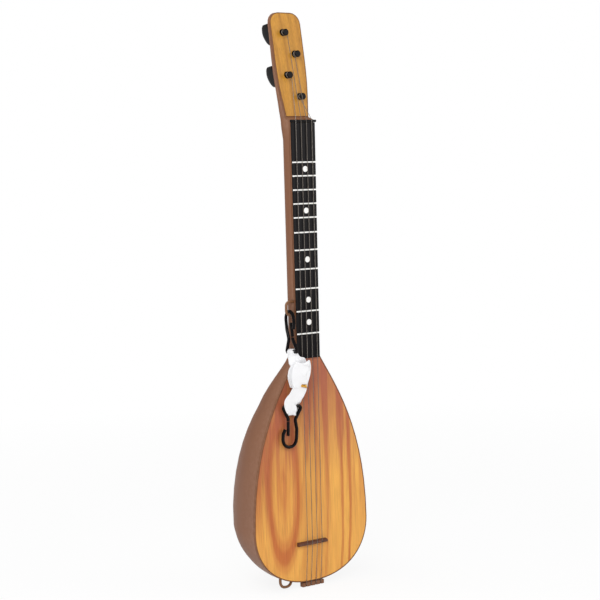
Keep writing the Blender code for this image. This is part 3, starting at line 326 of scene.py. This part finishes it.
def woven_polyester():
    """Woven polyester webbing: bright white and matt, ribbed across every 1.3 mm with a firm
    selvedge; the thread is drawn twice as coarse as it is, so that it shows."""
    rib_spacing, warp_spacing, crease_size, relief_depth = 1.3, 1.1, 7, 0.22
    material, tree, shader = new_material(
        "woven white polyester", "#f2f2f4", 0.85, Sheen_Weight=0.25, Sheen_Roughness=0.5)
    # the webbing's own map: millimetres across it from its middle, and along it
    axes = add(tree, "SeparateXYZ", add(tree, "TexCoord").outputs["UV"])
    waves = []
    for axis, spacing in (("Y", rib_spacing), ("X", warp_spacing)):
        turn = add(tree, "Math", axes.outputs[axis], 2 * math.pi / spacing, operation="MULTIPLY")
        waves.append(add(tree, "Math", turn, operation="SINE"))
    weave = add(tree, "Math", *waves, operation="MULTIPLY")
    weave = add(tree, "Math", weave, 0.35, 0.5, operation="MULTIPLY_ADD")
    off_middle = add(tree, "Math", axes.outputs["X"], operation="ABSOLUTE")
    selvedge = add(tree, "MapRange", off_middle, From_Min=8.6, From_Max=9.1)
    height = add(tree, "Math", selvedge, 0.5, weave, operation="MULTIPLY_ADD")
    crease = add(tree, "TexNoise", millimetres(tree), Scale=1 / crease_size, Detail=4.0)
    height = add(tree, "Math", crease, 1.2, height, operation="MULTIPLY_ADD")
    # painted shade: the weave's low places are coloured greyer than its raised threads
    shade = add(tree, "ValToRGB", weave, stops=[(0.15, "#dcdce0"), (0.60, "#f7f7f8")])
    surface(tree, shader, shade, relief=(height, relief_depth))
    return material


def gold_foil():
    """Gold foil laid over a paper-covered wire: bright crumpled metal."""
    crease_size, crease_depth = 1.3, 0.15
    material, tree, shader = new_material("crumpled gold foil", "#e0a23a", 0.34, Metallic=0.85)
    creases = add(tree, "TexVoronoi", millimetres(tree), Scale=1 / crease_size)
    # painted shade and highlight: the foil is coloured darker in the hollows of its creases and
    # brighter on their ridges
    tone = add(tree, "ValToRGB", creases, stops=[(0.0, "#b97a1d"), (0.6, "#edb552")])
    surface(tree, shader, tone, relief=(creases, crease_depth))
    return material


def zinc_steel():
    """Bright zinc plate on steel: pale grey metal with a fine random haze."""
    haze_size = 0.6
    material, tree, shader = new_material("zinc-plated steel", "#b9bab8", 0.36, Metallic=1.0)
    haze = add(tree, "TexNoise", millimetres(tree), Scale=1 / haze_size, Detail=3.0)
    surface(tree, shader, roughness=(haze, 0.28, 0.46))
    return material


# Shading of the CAD pieces

SMOOTH_BELOW = 34.0  # faces that meet at less than this many degrees shade as one surface
SAME_PLACE = 1e6  # corners are matched to a millionth of a metre


def soften(mesh):
    """Shades a faceted CAD mesh as the curved surface that it stands for: corners that share a
    place share a normal wherever their faces meet at a small angle."""
    limit = math.cos(math.radians(SMOOTH_BELOW))
    around = {}
    corners = []
    for face in mesh.polygons:
        weight = face.normal * face.area
        for index in face.vertices:
            spot = tuple(round(c * SAME_PLACE) for c in mesh.vertices[index].co)
            around.setdefault(spot, []).append((face.normal.copy(), weight))
            corners.append((spot, face.normal.copy()))
    normals = []
    for spot, own in corners:
        total = Vector()
        for normal, weight in around[spot]:
            if normal.dot(own) > limit:
                total += weight
        normals.append(total.normalized() if total.length > 0 else own)
    mesh.shade_smooth()
    mesh.normals_split_custom_set(normals)


def dress(names, material):
    """Gives CAD pieces a finish."""
    for name in names:
        obj = NODES[name]
        soften(obj.data)
        for slot in obj.material_slots:
            slot.material = material


def numbered(stem, count):
    """The names of like pieces, counted from 1."""
    return ["%s_%d" % (stem, k) for k in range(1, count + 1)]


# Webbing and foil, in millimetres until they become meshes

UPPER_BAR = Vector((-20.6, 3.8, -257.18))
UPPER_BAR_ALONG = Vector((-0.138, -0.984, 0.112))
FLAT = 10.0  # half the webbing's width where it lies flat
INSET = 0.55  # how far the outermost layers' middles lie inside the bundle's faces

# The bundle's middle line, from the upper hook's bar down to the lower one's:
# height, x, y, turn in degrees, half its thickness
BUNDLE = (
    (-255.7, -20.6, 3.8, 98.0, 3.0), (-259.7, -20.9, 3.0, 92.0, 3.3),
    (-263.2, -22.1, -0.8, 64.0, 3.2), (-265.7, -21.4, -4.4, 36.0, 3.2),
    (-268.0, -18.8, -7.2, 10.0, 3.4), (-271.6, -18.3, -7.6, 0.0, 3.8),
    (-280.0, -19.6, -7.8, 0.0, 4.0), (-287.5, -20.9, -7.6, 0.0, 3.8),
    (-293.0, -21.3, -7.4, 0.0, 3.5), (-297.0, -22.0, -7.2, 0.0, 3.1),
    (-301.0, -23.2, -6.6, 0.0, 3.0), (-306.5, -25.6, -5.4, -2.0, 3.1),
    (-311.0, -27.6, -3.6, -4.0, 3.3), (-314.0, -27.1, -2.8, -4.0, 3.4),
    (-317.0, -26.7, -2.3, -4.0, 3.4), (-321.0, -27.1, -2.2, -4.0, 3.1),
    (-327.2, -27.5, -2.0, -4.0, 2.2),
)

# Places on the webbing: height, shift sideways, layer from -1 at the bundle's front to 1 at its
# back, and half the width that the webbing has there, less where it is pinched
UPPER_LOOP_BACK = ((-267.0, -3.2, 0.55, 7.0), (-263.5, -0.6, 0.75, 6.2), (-260.2, 0.0, 0.95, 6.2))
UPPER_LOOP_FRONT = ((-260.2, 0.8, -1.1, 6.8), (-263.5, 0.6, -0.8, 7.4), (-267.2, -2.6, 0.2, 7.8))
LOWER_LOOP = (
    (-301.0, 0.7, -0.92, FLAT), (-306.5, -1.4, -0.95, FLAT), (-311.5, -4.2, -0.98, FLAT),
    (-317.0, -5.4, -1.02, 7.4), (-321.5, -1.6, -0.95, 7.2), (-325.2, -0.8, -0.6, 5.4),
    (-326.9, -0.3, 0.0, 5.6), (-325.2, 0.4, 0.6, 6.2), (-321.5, 2.4, 0.98, 9.6),
    (-317.0, 1.8, 1.0, 10.3), (-313.2, 3.6, 0.3, 10.2), (-309.5, 3.8, 0.05, FLAT),
    (-306.0, 2.4, 0.1, FLAT), (-303.0, 1.4, 0.1, FLAT),
)

# For each layer of the bundle from the back: its place in the depth, its shifts at the top, the
# middle and the waist, and the heights of the folds above and below it
LAYERS = (
    (0.95, 3.2, -3.6, 0.6, -268.4, -297.6), (0.63, 4.0, 3.6, 1.0, -268.2, -297.2),
    (0.32, 3.0, -4.0, 0.8, -268.6, -297.8), (0.0, 4.3, 4.0, 1.2, -268.2, -297.0),
    (-0.32, 2.8, -4.2, 1.0, -268.6, -297.4), (-0.63, 4.2, 3.8, 1.4, -268.4, -297.2),
    (-0.95, 1.6, -3.4, 1.6, -268.8, -297.0),
)


def in_bundle(height, shift, layer, half):
    """A place on the webbing inside the bundle: its point, its direction across and half width."""
    upper, lower = next((a, b) for a, b in zip(BUNDLE, BUNDLE[1:]) if a[0] >= height >= b[0])
    share = (upper[0] - height) / (upper[0] - lower[0])
    x, y, turn, thick = (a + (b - a) * share for a, b in zip(upper[1:], lower[1:]))
    angle = math.radians(-turn)
    across = Vector((math.cos(angle), math.sin(angle), 0.0))
    depth = Vector((-math.sin(angle), math.cos(angle), 0.0))
    point = Vector((x, y, height)) + across * shift + depth * layer * (thick - INSET)
    return point, across, half


def over_upper_bar():
    """Places where the webbing bends over the upper hook's bar."""
    radius, half, lowest, steps = 3.4, 5.8, 80.0, 8
    side = UPPER_BAR_ALONG.cross(Vector((0, 0, 1))).normalized()
    up = side.cross(UPPER_BAR_ALONG).normalized()
    places = []
    for k in range(steps + 1):
        angle = math.radians(-lowest + 2 * lowest * k / steps)
        point = UPPER_BAR + side * math.sin(angle) * radius + up * math.cos(angle) * radius
        places.append((point, UPPER_BAR_ALONG, half))
    return places


def webbing_route():
    """One length of webbing: over the upper bar, zigzag through the bundle, under the lower bar."""
    rows = []
    for k, (layer, top_shift, middle_shift, waist_shift, top, low) in enumerate(LAYERS):
        last, rising = k == len(LAYERS) - 1, k % 2 == 1
        # places down this layer, from its upper fold to its lower one
        keys = [
            (top - 2.4, top_shift, layer, 9.3),
            (-273.5, top_shift * 0.7 + middle_shift * 0.3, layer, FLAT),
            (-280.5, middle_shift, layer * 1.04, FLAT),
            (-288.0, (middle_shift + waist_shift) * 0.5, layer, FLAT),
            (-294.0, waist_shift, layer, 9.7),
        ]
        if not last:
            keys.append((low + 0.6, waist_shift, layer, 9.4))
        rows += reversed(keys) if rising else keys
        if not last:
            next_layer, next_shift = LAYERS[k + 1][:2]
            between = (layer + next_layer) / 2
            fold_above = (top - 0.7, (top_shift + next_shift) / 2, between, 8.2)
            fold_below = (low, waist_shift, between, 9.4)
            rows.append(fold_above if rising else fold_below)
    start = [in_bundle(*row) for row in UPPER_LOOP_BACK] + over_upper_bar()
    return start + [in_bundle(*row) for row in (*UPPER_LOOP_FRONT, *rows, *LOWER_LOOP)]


def smooth_line(route, step):
    """Points along a smooth curve through the route, about one step apart."""
    line = []
    count = len(route)
    for i in range(count - 1):
        a, b, c, d = (route[max(0, min(count - 1, i + k))] for k in (-1, 0, 1, 2))
        pieces = max(2, int((c[0] - b[0]).length / step))
        for k in range(pieces):
            t = k / pieces
            weights = (
                -0.5 * t + t * t - 0.5 * t ** 3, 1 - 2.5 * t * t + 1.5 * t ** 3,
                0.5 * t + 2 * t * t - 1.5 * t ** 3, -0.5 * t * t + 0.5 * t ** 3,
            )
            point = sum((p[0] * w for p, w in zip((a, b, c, d), weights)), Vector())
            line.append((point, b[1].lerp(c[1], t).normalized(), b[2] + (c[2] - b[2]) * t))
    line.append(route[-1])
    return line


def new_object(name, mesh):
    """Puts a finished bmesh into the scene."""
    data = bpy.data.meshes.new(name)
    mesh.to_mesh(data)
    mesh.free()
    obj = bpy.data.objects.new(name, data)
    bpy.context.collection.objects.link(obj)
    return obj


def webbing_mesh(name, route, thick):
    """A woven strip along a route, slightly rippled, with its length and a map in millimetres."""
    step, cross = 1.3, 8
    ripple_height, ripple_spacing, ripple_skew = 0.10, 5.3, 2.1
    line = smooth_line(route, step)
    mesh = bmesh.new()
    uv = mesh.loops.layers.uv.new("UVMap")
    rows = []
    run = 0.0
    runs = []
    for i, (point, across, half) in enumerate(line):
        before, after = line[max(i - 1, 0)][0], line[min(i + 1, len(line) - 1)][0]
        along = (after - before).normalized()
        if i:
            run += (point - line[i - 1][0]).length
        runs.append(run)
        side = (across - along * across.dot(along)).normalized()
        normal = side.cross(along)
        row = []
        for k in range(cross + 1):
            u = 2 * k / cross - 1
            wave = math.sin(run / ripple_spacing + ripple_skew * u)
            ripple = ripple_height * wave * (1 - u * u)
            row.append(mesh.verts.new((point + side * half * u + normal * ripple) * MM))
        rows.append(row)
    for i in range(len(rows) - 1):
        for k in range(cross):
            face = mesh.faces.new((rows[i][k], rows[i][k + 1], rows[i + 1][k + 1], rows[i + 1][k]))
            corners = ((k, i), (k + 1, i), (k + 1, i + 1), (k, i + 1))
            for loop, (kk, ii) in zip(face.loops, corners):
                loop[uv].uv = ((2 * kk / cross - 1) * FLAT, runs[ii])
            face.smooth = True
    obj = new_object(name, mesh)
    solid = obj.modifiers.new("thickness", "SOLIDIFY")
    solid.thickness = thick * MM
    solid.offset = 0.0
    subdivide = obj.modifiers.new("soften", "SUBSURF")
    subdivide.levels = 1
    subdivide.render_levels = 1
    return obj, run * MM


def foil_band(name, line, width, thick, closed=True):
    """A flat foil-covered tie along a line of points, with the wire as a ridge along its middle."""
    # the band's outline: across it and outwards, as shares of its width and its thickness
    section = (
        (-0.5, 0.0), (-0.15, 0.25), (0.0, 0.75), (0.15, 0.25), (0.5, 0.0), (0.15, -0.4),
        (-0.15, -0.4),
    )
    mesh = bmesh.new()
    rings = []
    for point, outward, up in line:
        places = [point + up * a * width + outward * b * thick for a, b in section]
        rings.append([mesh.verts.new(place * MM) for place in places])
    count = len(rings)
    for i in range(count if closed else count - 1):
        a, b = rings[i], rings[(i + 1) % count]
        for k in range(len(section)):
            n = (k + 1) % len(section)
            mesh.faces.new((a[k], a[n], b[n], b[k])).smooth = True
    if not closed:
        mesh.faces.new(reversed(rings[0]))
        mesh.faces.new(rings[-1])
    bmesh.ops.recalc_face_normals(mesh, faces=mesh.faces)
    return new_object(name, mesh)


TIE_MIDDLE = Vector((-21.4, -7.3, -293.4))


def tie_loop():
    """The tie's way round the bundle's waist, with each place's outward and upward direction."""
    left, right, deep, slant, steps = 9.0, 10.9, 3.9, -0.16, 48
    loop = []
    for k in range(steps):
        angle = 2 * math.pi * k / steps
        c, s = math.cos(angle), math.sin(angle)
        x = (right if c > 0 else left) * math.copysign(abs(c) ** 0.6, c)
        y = deep * math.copysign(abs(s) ** 0.8, s)
        if s < 0:
            # in front, its left part lies closer in
            y *= 1.0 - 0.55 * min(1.0, max(0.0, (3.0 - x) / 4.0))
        outward = Vector((c, s * 2.4, 0.0)).normalized()
        loop.append((TIE_MIDDLE + Vector((x, y, slant * x)), outward, Vector((0, 0, 1))))
    return loop


def tie_end(number, lean):
    """One of the tie's two ends, twisted a little, lying in front of the loop to the right."""
    start_x, start_y, start_z = 3.2, -4.45, -0.9
    length, steps = 5.2, 11
    places = []
    for k in range(steps + 1):
        t = k / steps
        x = start_x + length * t
        y = start_y - 0.35 * number - 0.25 * math.sin(3.0 * t)
        z = start_z + lean * length * t
        twist = 0.5 * math.sin(7.0 * t + number)
        face = Vector((0.0, -math.cos(twist), math.sin(twist)))
        places.append((TIE_MIDDLE + Vector((x, y, z)), face, face.cross(Vector((1, 0, 0)))))
    return places


# Properties


class SazSizes(bpy.types.PropertyGroup):
    """The sizes of the strap and its tie, the camera and the level of the light"""

    webbing_thickness: bpy.props.FloatProperty(
        name="Webbing thickness", description="Thickness of the strap's webbing in millimetres",
        default=0.85, min=0.4, max=1.1)
    foil_width: bpy.props.FloatProperty(
        name="Foil tie width", description="Width of the gold tie in millimetres",
        default=3.2, min=1.0, max=5.0)
    camera_distance: bpy.props.FloatProperty(
        name="Camera distance", description="From the camera to the point it looks at",
        default=1.792, min=0.5, max=10.0, unit="LENGTH")
    focal_length: bpy.props.FloatProperty(
        name="Focal length", description="The camera's lens in millimetres",
        default=96.0, min=20.0, max=300.0)
    light_level: bpy.props.FloatProperty(
        name="Light level", description="Multiplies every lamp", default=1.0, min=0.1, max=4.0)


class SazColours(bpy.types.PropertyGroup):
    """The colours of the moulded plastics"""

    bowl: bpy.props.FloatVectorProperty(
        name="Bowl", description="The back shell's colour",
        subtype="COLOR", default=linear("#825941")[:3], min=0.0, max=1.0)
    front: bpy.props.FloatVectorProperty(
        name="Front shell", description="The front shell's colour",
        subtype="COLOR", default=linear("#744a30")[:3], min=0.0, max=1.0)
    black: bpy.props.FloatVectorProperty(
        name="Black plastic", description="The colour of the pegs and hooks",
        subtype="COLOR", default=linear("#0c090a")[:3], min=0.0, max=1.0)


# Operators


class SAZ_OT_stage(bpy.types.Operator):
    """Set the pale floor, the soft lamps and the camera"""
    bl_idname = "saz.stage"
    bl_label = "Stage"

    def execute(self, context):
        sizes = context.scene.saz_sizes
        self.floor()
        self.world(context.scene)
        self.lamps(sizes.light_level)
        self.camera(context.scene, sizes)
        context.scene.view_settings.view_transform = "Standard"
        return {"FINISHED"}

    def floor(self):
        """A flat painted floor that keeps the shadow near the saz and is plain white far off."""
        reach, gap = 12.0, 0.0006
        shadow_edge, white_edge, white_near = 700.0, 1500.0, 0.88
        low = CAD_BOX[0][2] - gap
        mesh = bmesh.new()
        signs = ((-1, -1), (1, -1), (1, 1), (-1, 1))
        mesh.faces.new([mesh.verts.new((x * reach, y * reach, low)) for x, y in signs])
        floor = new_object("studio_floor", mesh)
        material, tree, shader = new_material("painted studio floor", "#f4f4f4", 0.9)
        paint = add(tree, "TexNoise", millimetres(tree), Scale=1 / 400, Detail=2.0)
        tone = add(tree, "Mix", paint, linear("#f2f2f2"), linear("#f8f8f8"), data_type="RGBA")
        surface(tree, shader, tone)
        rays = add(tree, "LightPath").outputs
        seen = add(tree, "Math", rays["Is Camera Ray"], rays["Is Glossy Ray"], operation="MAXIMUM")
        seen = add(tree, "Math", seen, rays["Is Transmission Ray"], operation="MAXIMUM")
        white = add(tree, "Emission", Color=(1.0, 1.0, 1.0, 1.0), Strength=1.0)
        away = add(tree, "VectorMath", millimetres(tree), operation="LENGTH")
        fade = add(tree, "MapRange", away,
                   From_Min=shadow_edge, From_Max=white_edge, To_Min=white_near, To_Max=1.0)
        share = add(tree, "Math", seen, fade, operation="MULTIPLY")
        mix = add(tree, "MixShader", share, shader, white)
        join(tree, mix, tree.nodes["Material Output"].inputs["Surface"])
        floor.data.materials.append(material)

    def world(self, scene):
        """Soft light from all round, and white where the camera looks past the floor."""
        world = bpy.data.worlds.new("studio")
        world.use_nodes = True
        scene.world = world
        tree = world.node_tree
        tree.nodes.clear()
        white = (1.0, 1.0, 1.0, 1.0)
        light = add(tree, "Background", Color=white, Strength=0.47)
        seen = add(tree, "Background", Color=white, Strength=1.0)
        rays = add(tree, "LightPath").outputs
        mix = add(tree, "MixShader", rays["Is Camera Ray"], light, seen)
        add(tree, "OutputWorld", Surface=mix)

    def lamps(self, level):
        """Three square soft boxes, each with its place, its side in metres and its watts."""
        aim = Vector((0.0, 0.02, -0.25))
        plan = (
            ("key_softbox", (-1.5, -1.6, 1.0), 1.5, 31.5),
            ("fill_softbox", (1.5, -1.4, 0.3), 1.4, 12.0),
            ("top_softbox", (-0.9, 0.3, 1.6), 1.3, 16.0),
        )
        for name, place, size, power in plan:
            lamp = bpy.data.lights.new(name, "AREA")
            lamp.shape = "SQUARE"
            lamp.size = size
            lamp.energy = power * level
            obj = bpy.data.objects.new(name, lamp)
            obj.location = place
            obj.rotation_euler = (aim - Vector(place)).to_track_quat("-Z", "Y").to_euler()
            bpy.context.collection.objects.link(obj)

    def camera(self, scene, sizes):
        """The photograph's view: from the left, a little above, and tilted slightly."""
        azimuth, elevation, roll = (math.radians(degrees) for degrees in (-36.0, 4.76, -1.47))
        aim = Vector((-0.0105, 0.0, -0.1989))
        level = math.cos(elevation)
        back = Vector((math.sin(azimuth) * level, -math.cos(azimuth) * level, math.sin(elevation)))
        right = Vector((math.cos(azimuth), math.sin(azimuth), 0.0))
        up = back.cross(right)
        tilted_right = right * math.cos(roll) + up * math.sin(roll)
        tilted_up = up * math.cos(roll) - right * math.sin(roll)
        camera = bpy.data.cameras.new("camera")
        camera.lens = sizes.focal_length
        camera.sensor_width = 36.0
        camera.clip_start = 0.05
        obj = bpy.data.objects.new("camera", camera)
        turn = Matrix((tilted_right, tilted_up, back)).transposed()
        obj.matrix_world = Matrix.Translation(aim + back * sizes.camera_distance) @ turn.to_4x4()
        bpy.context.collection.objects.link(obj)
        scene.camera = obj


class SAZ_OT_shells(bpy.types.Operator):
    """Finish the bowl, the front shell, the string holder and the strap loops"""
    bl_idname = "saz.shells"
    bl_label = "Shells"

    def execute(self, context):
        colours = context.scene.saz_colours
        # each finish: its name, its pieces, its colour, the darker tone of its clouds, and the
        # paler colour of its painted edge highlight
        for finish, names, colour, shade, edge_highlight in (
            ("bowl", ["back_shell"], colours.bowl, "#7a5039", "#a98570"),
            ("front", ["front_shell", "tail_comb"], colours.front, "#663d26", "#9c755c"),
            ("loops", ["neck_strap_loop", "tail_strap_loop"], "#76502f", "#644024", "#a8846e"),
        ):
            dress(names, satin_brown_abs("satin brown ABS, " + finish, colour, shade, edge_highlight))
        return {"FINISHED"}


class SAZ_OT_films(bpy.types.Operator):
    """Print the wood grain on the soundboard and headstock films"""
    bl_idname = "saz.films"
    bl_label = "Wood-grain films"

    def execute(self, context):
        dress(["soundboard_film"], soundboard_print())
        dress(["headstock_film"], headstock_print())
        return {"FINISHED"}


class SAZ_OT_fretboard(bpy.types.Operator):
    """Finish the fretboard, its nut, frets and position dots"""
    bl_idname = "saz.fretboard"
    bl_label = "Fretboard"

    def execute(self, context):
        black = gloss_black_abs("moulded black ABS, fretboard", "#0e0b0d", 0.22, 0.10)
        dress(["fretboard", "nut"], black)
        frets = ["fret_%02d" % k for k in range(1, 12)]
        dress(frets + numbered("position_dot", 5), white_abs())
        return {"FINISHED"}


class SAZ_OT_pegs(bpy.types.Operator):
    """Finish the tuning pegs and their collars"""
    bl_idname = "saz.pegs"
    bl_label = "Tuning pegs"

    def execute(self, context):
        colour = context.scene.saz_colours.black
        black = gloss_black_abs("polished black ABS, pegs", colour, 0.18, 0.08)
        dress(numbered("peg", 4) + numbered("peg_collar", 4), black)
        return {"FINISHED"}


class SAZ_OT_strings(bpy.types.Operator):
    """Finish the strings with their windings and knots, the bridge and the neck's screws"""
    bl_idname = "saz.strings"
    bl_label = "Strings, bridge and screws"

    def execute(self, context):
        nylon = clear_nylon()
        for stem in ("string", "string_winding", "string_knot"):
            dress(numbered(stem, 4), nylon)
        dress(["bridge"], stained_beech())
        dress(numbered("neck_screw", 3), zinc_steel())
        return {"FINISHED"}


class SAZ_OT_hooks(bpy.types.Operator):
    """Finish the two snap hooks and their tongues"""
    bl_idname = "saz.hooks"
    bl_label = "Snap hooks"

    def execute(self, context):
        colour = context.scene.saz_colours.black
        black = gloss_black_abs("moulded black acetal", colour, 0.22, 0.10)
        dress(["upper_hook", "upper_hook_tongue", "lower_hook", "lower_hook_tongue"], black)
        return {"FINISHED"}


class SAZ_OT_strap(bpy.types.Operator):
    """Fold the white webbing between the two hooks"""
    bl_idname = "saz.strap"
    bl_label = "Strap"

    def execute(self, context):
        thickness = context.scene.saz_sizes.webbing_thickness
        strap, length = webbing_mesh("strap_webbing", webbing_route(), thickness)
        strap.data.materials.append(woven_polyester())
        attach(strap, "strap_bundle")
        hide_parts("strap")
        return {"FINISHED"}


class SAZ_OT_tie(bpy.types.Operator):
    """Bind the strap's waist with the gold foil tie"""
    bl_idname = "saz.tie"
    bl_label = "Foil tie"

    def execute(self, context):
        width = context.scene.saz_sizes.foil_width
        gold = gold_foil()
        left_brown_and_shade_band = foil_band("foil_tie_band", tie_loop(), width, 0.5)
        left_brown_and_shade_band.data.materials.append(gold)
        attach(left_brown_and_shade_band, "strap_bundle")
        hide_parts("twist_tie")
        for number, lean in ((1, 0.10), (2, -0.32)):
            line = tie_end(number, lean)
            end = foil_band("foil_tie_end_%d" % number, line, width * 0.75, 0.4, closed=False)
            end.data.materials.append(gold)
            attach(end, "strap_bundle")
        return {"FINISHED"}


STEPS = (
    SAZ_OT_stage, SAZ_OT_shells, SAZ_OT_films, SAZ_OT_fretboard, SAZ_OT_pegs, SAZ_OT_strings,
    SAZ_OT_hooks, SAZ_OT_strap, SAZ_OT_tie,
)


class SAZ_PT_panel(bpy.types.Panel):
    """Lists the saz's sizes, colours and steps"""
    bl_idname = "SAZ_PT_panel"
    bl_label = "Toy Saz"
    bl_space_type = "VIEW_3D"
    bl_region_type = "UI"
    bl_category = "Saz"

    def draw(self, context):
        layout = self.layout
        for group in (context.scene.saz_sizes, context.scene.saz_colours):
            box = layout.box()
            for name in group.bl_rna.properties.keys():
                if name not in {"rna_type", "name"}:
                    box.prop(group, name)
        for step in STEPS:
            layout.operator(step.bl_idname)


CLASSES = (SazSizes, SazColours) + STEPS + (SAZ_PT_panel,)


def register():
    for item in CLASSES:
        bpy.utils.register_class(item)
    bpy.types.Scene.saz_sizes = bpy.props.PointerProperty(type=SazSizes)
    bpy.types.Scene.saz_colours = bpy.props.PointerProperty(type=SazColours)


def unregister():
    del bpy.types.Scene.saz_colours
    del bpy.types.Scene.saz_sizes
    for item in reversed(CLASSES):
        bpy.utils.unregister_class(item)


def main():
    register()
    for step in STEPS:
        group, name = step.bl_idname.split(".")
        getattr(getattr(bpy.ops, group), name)()


if __name__ == "__main__":
    main()
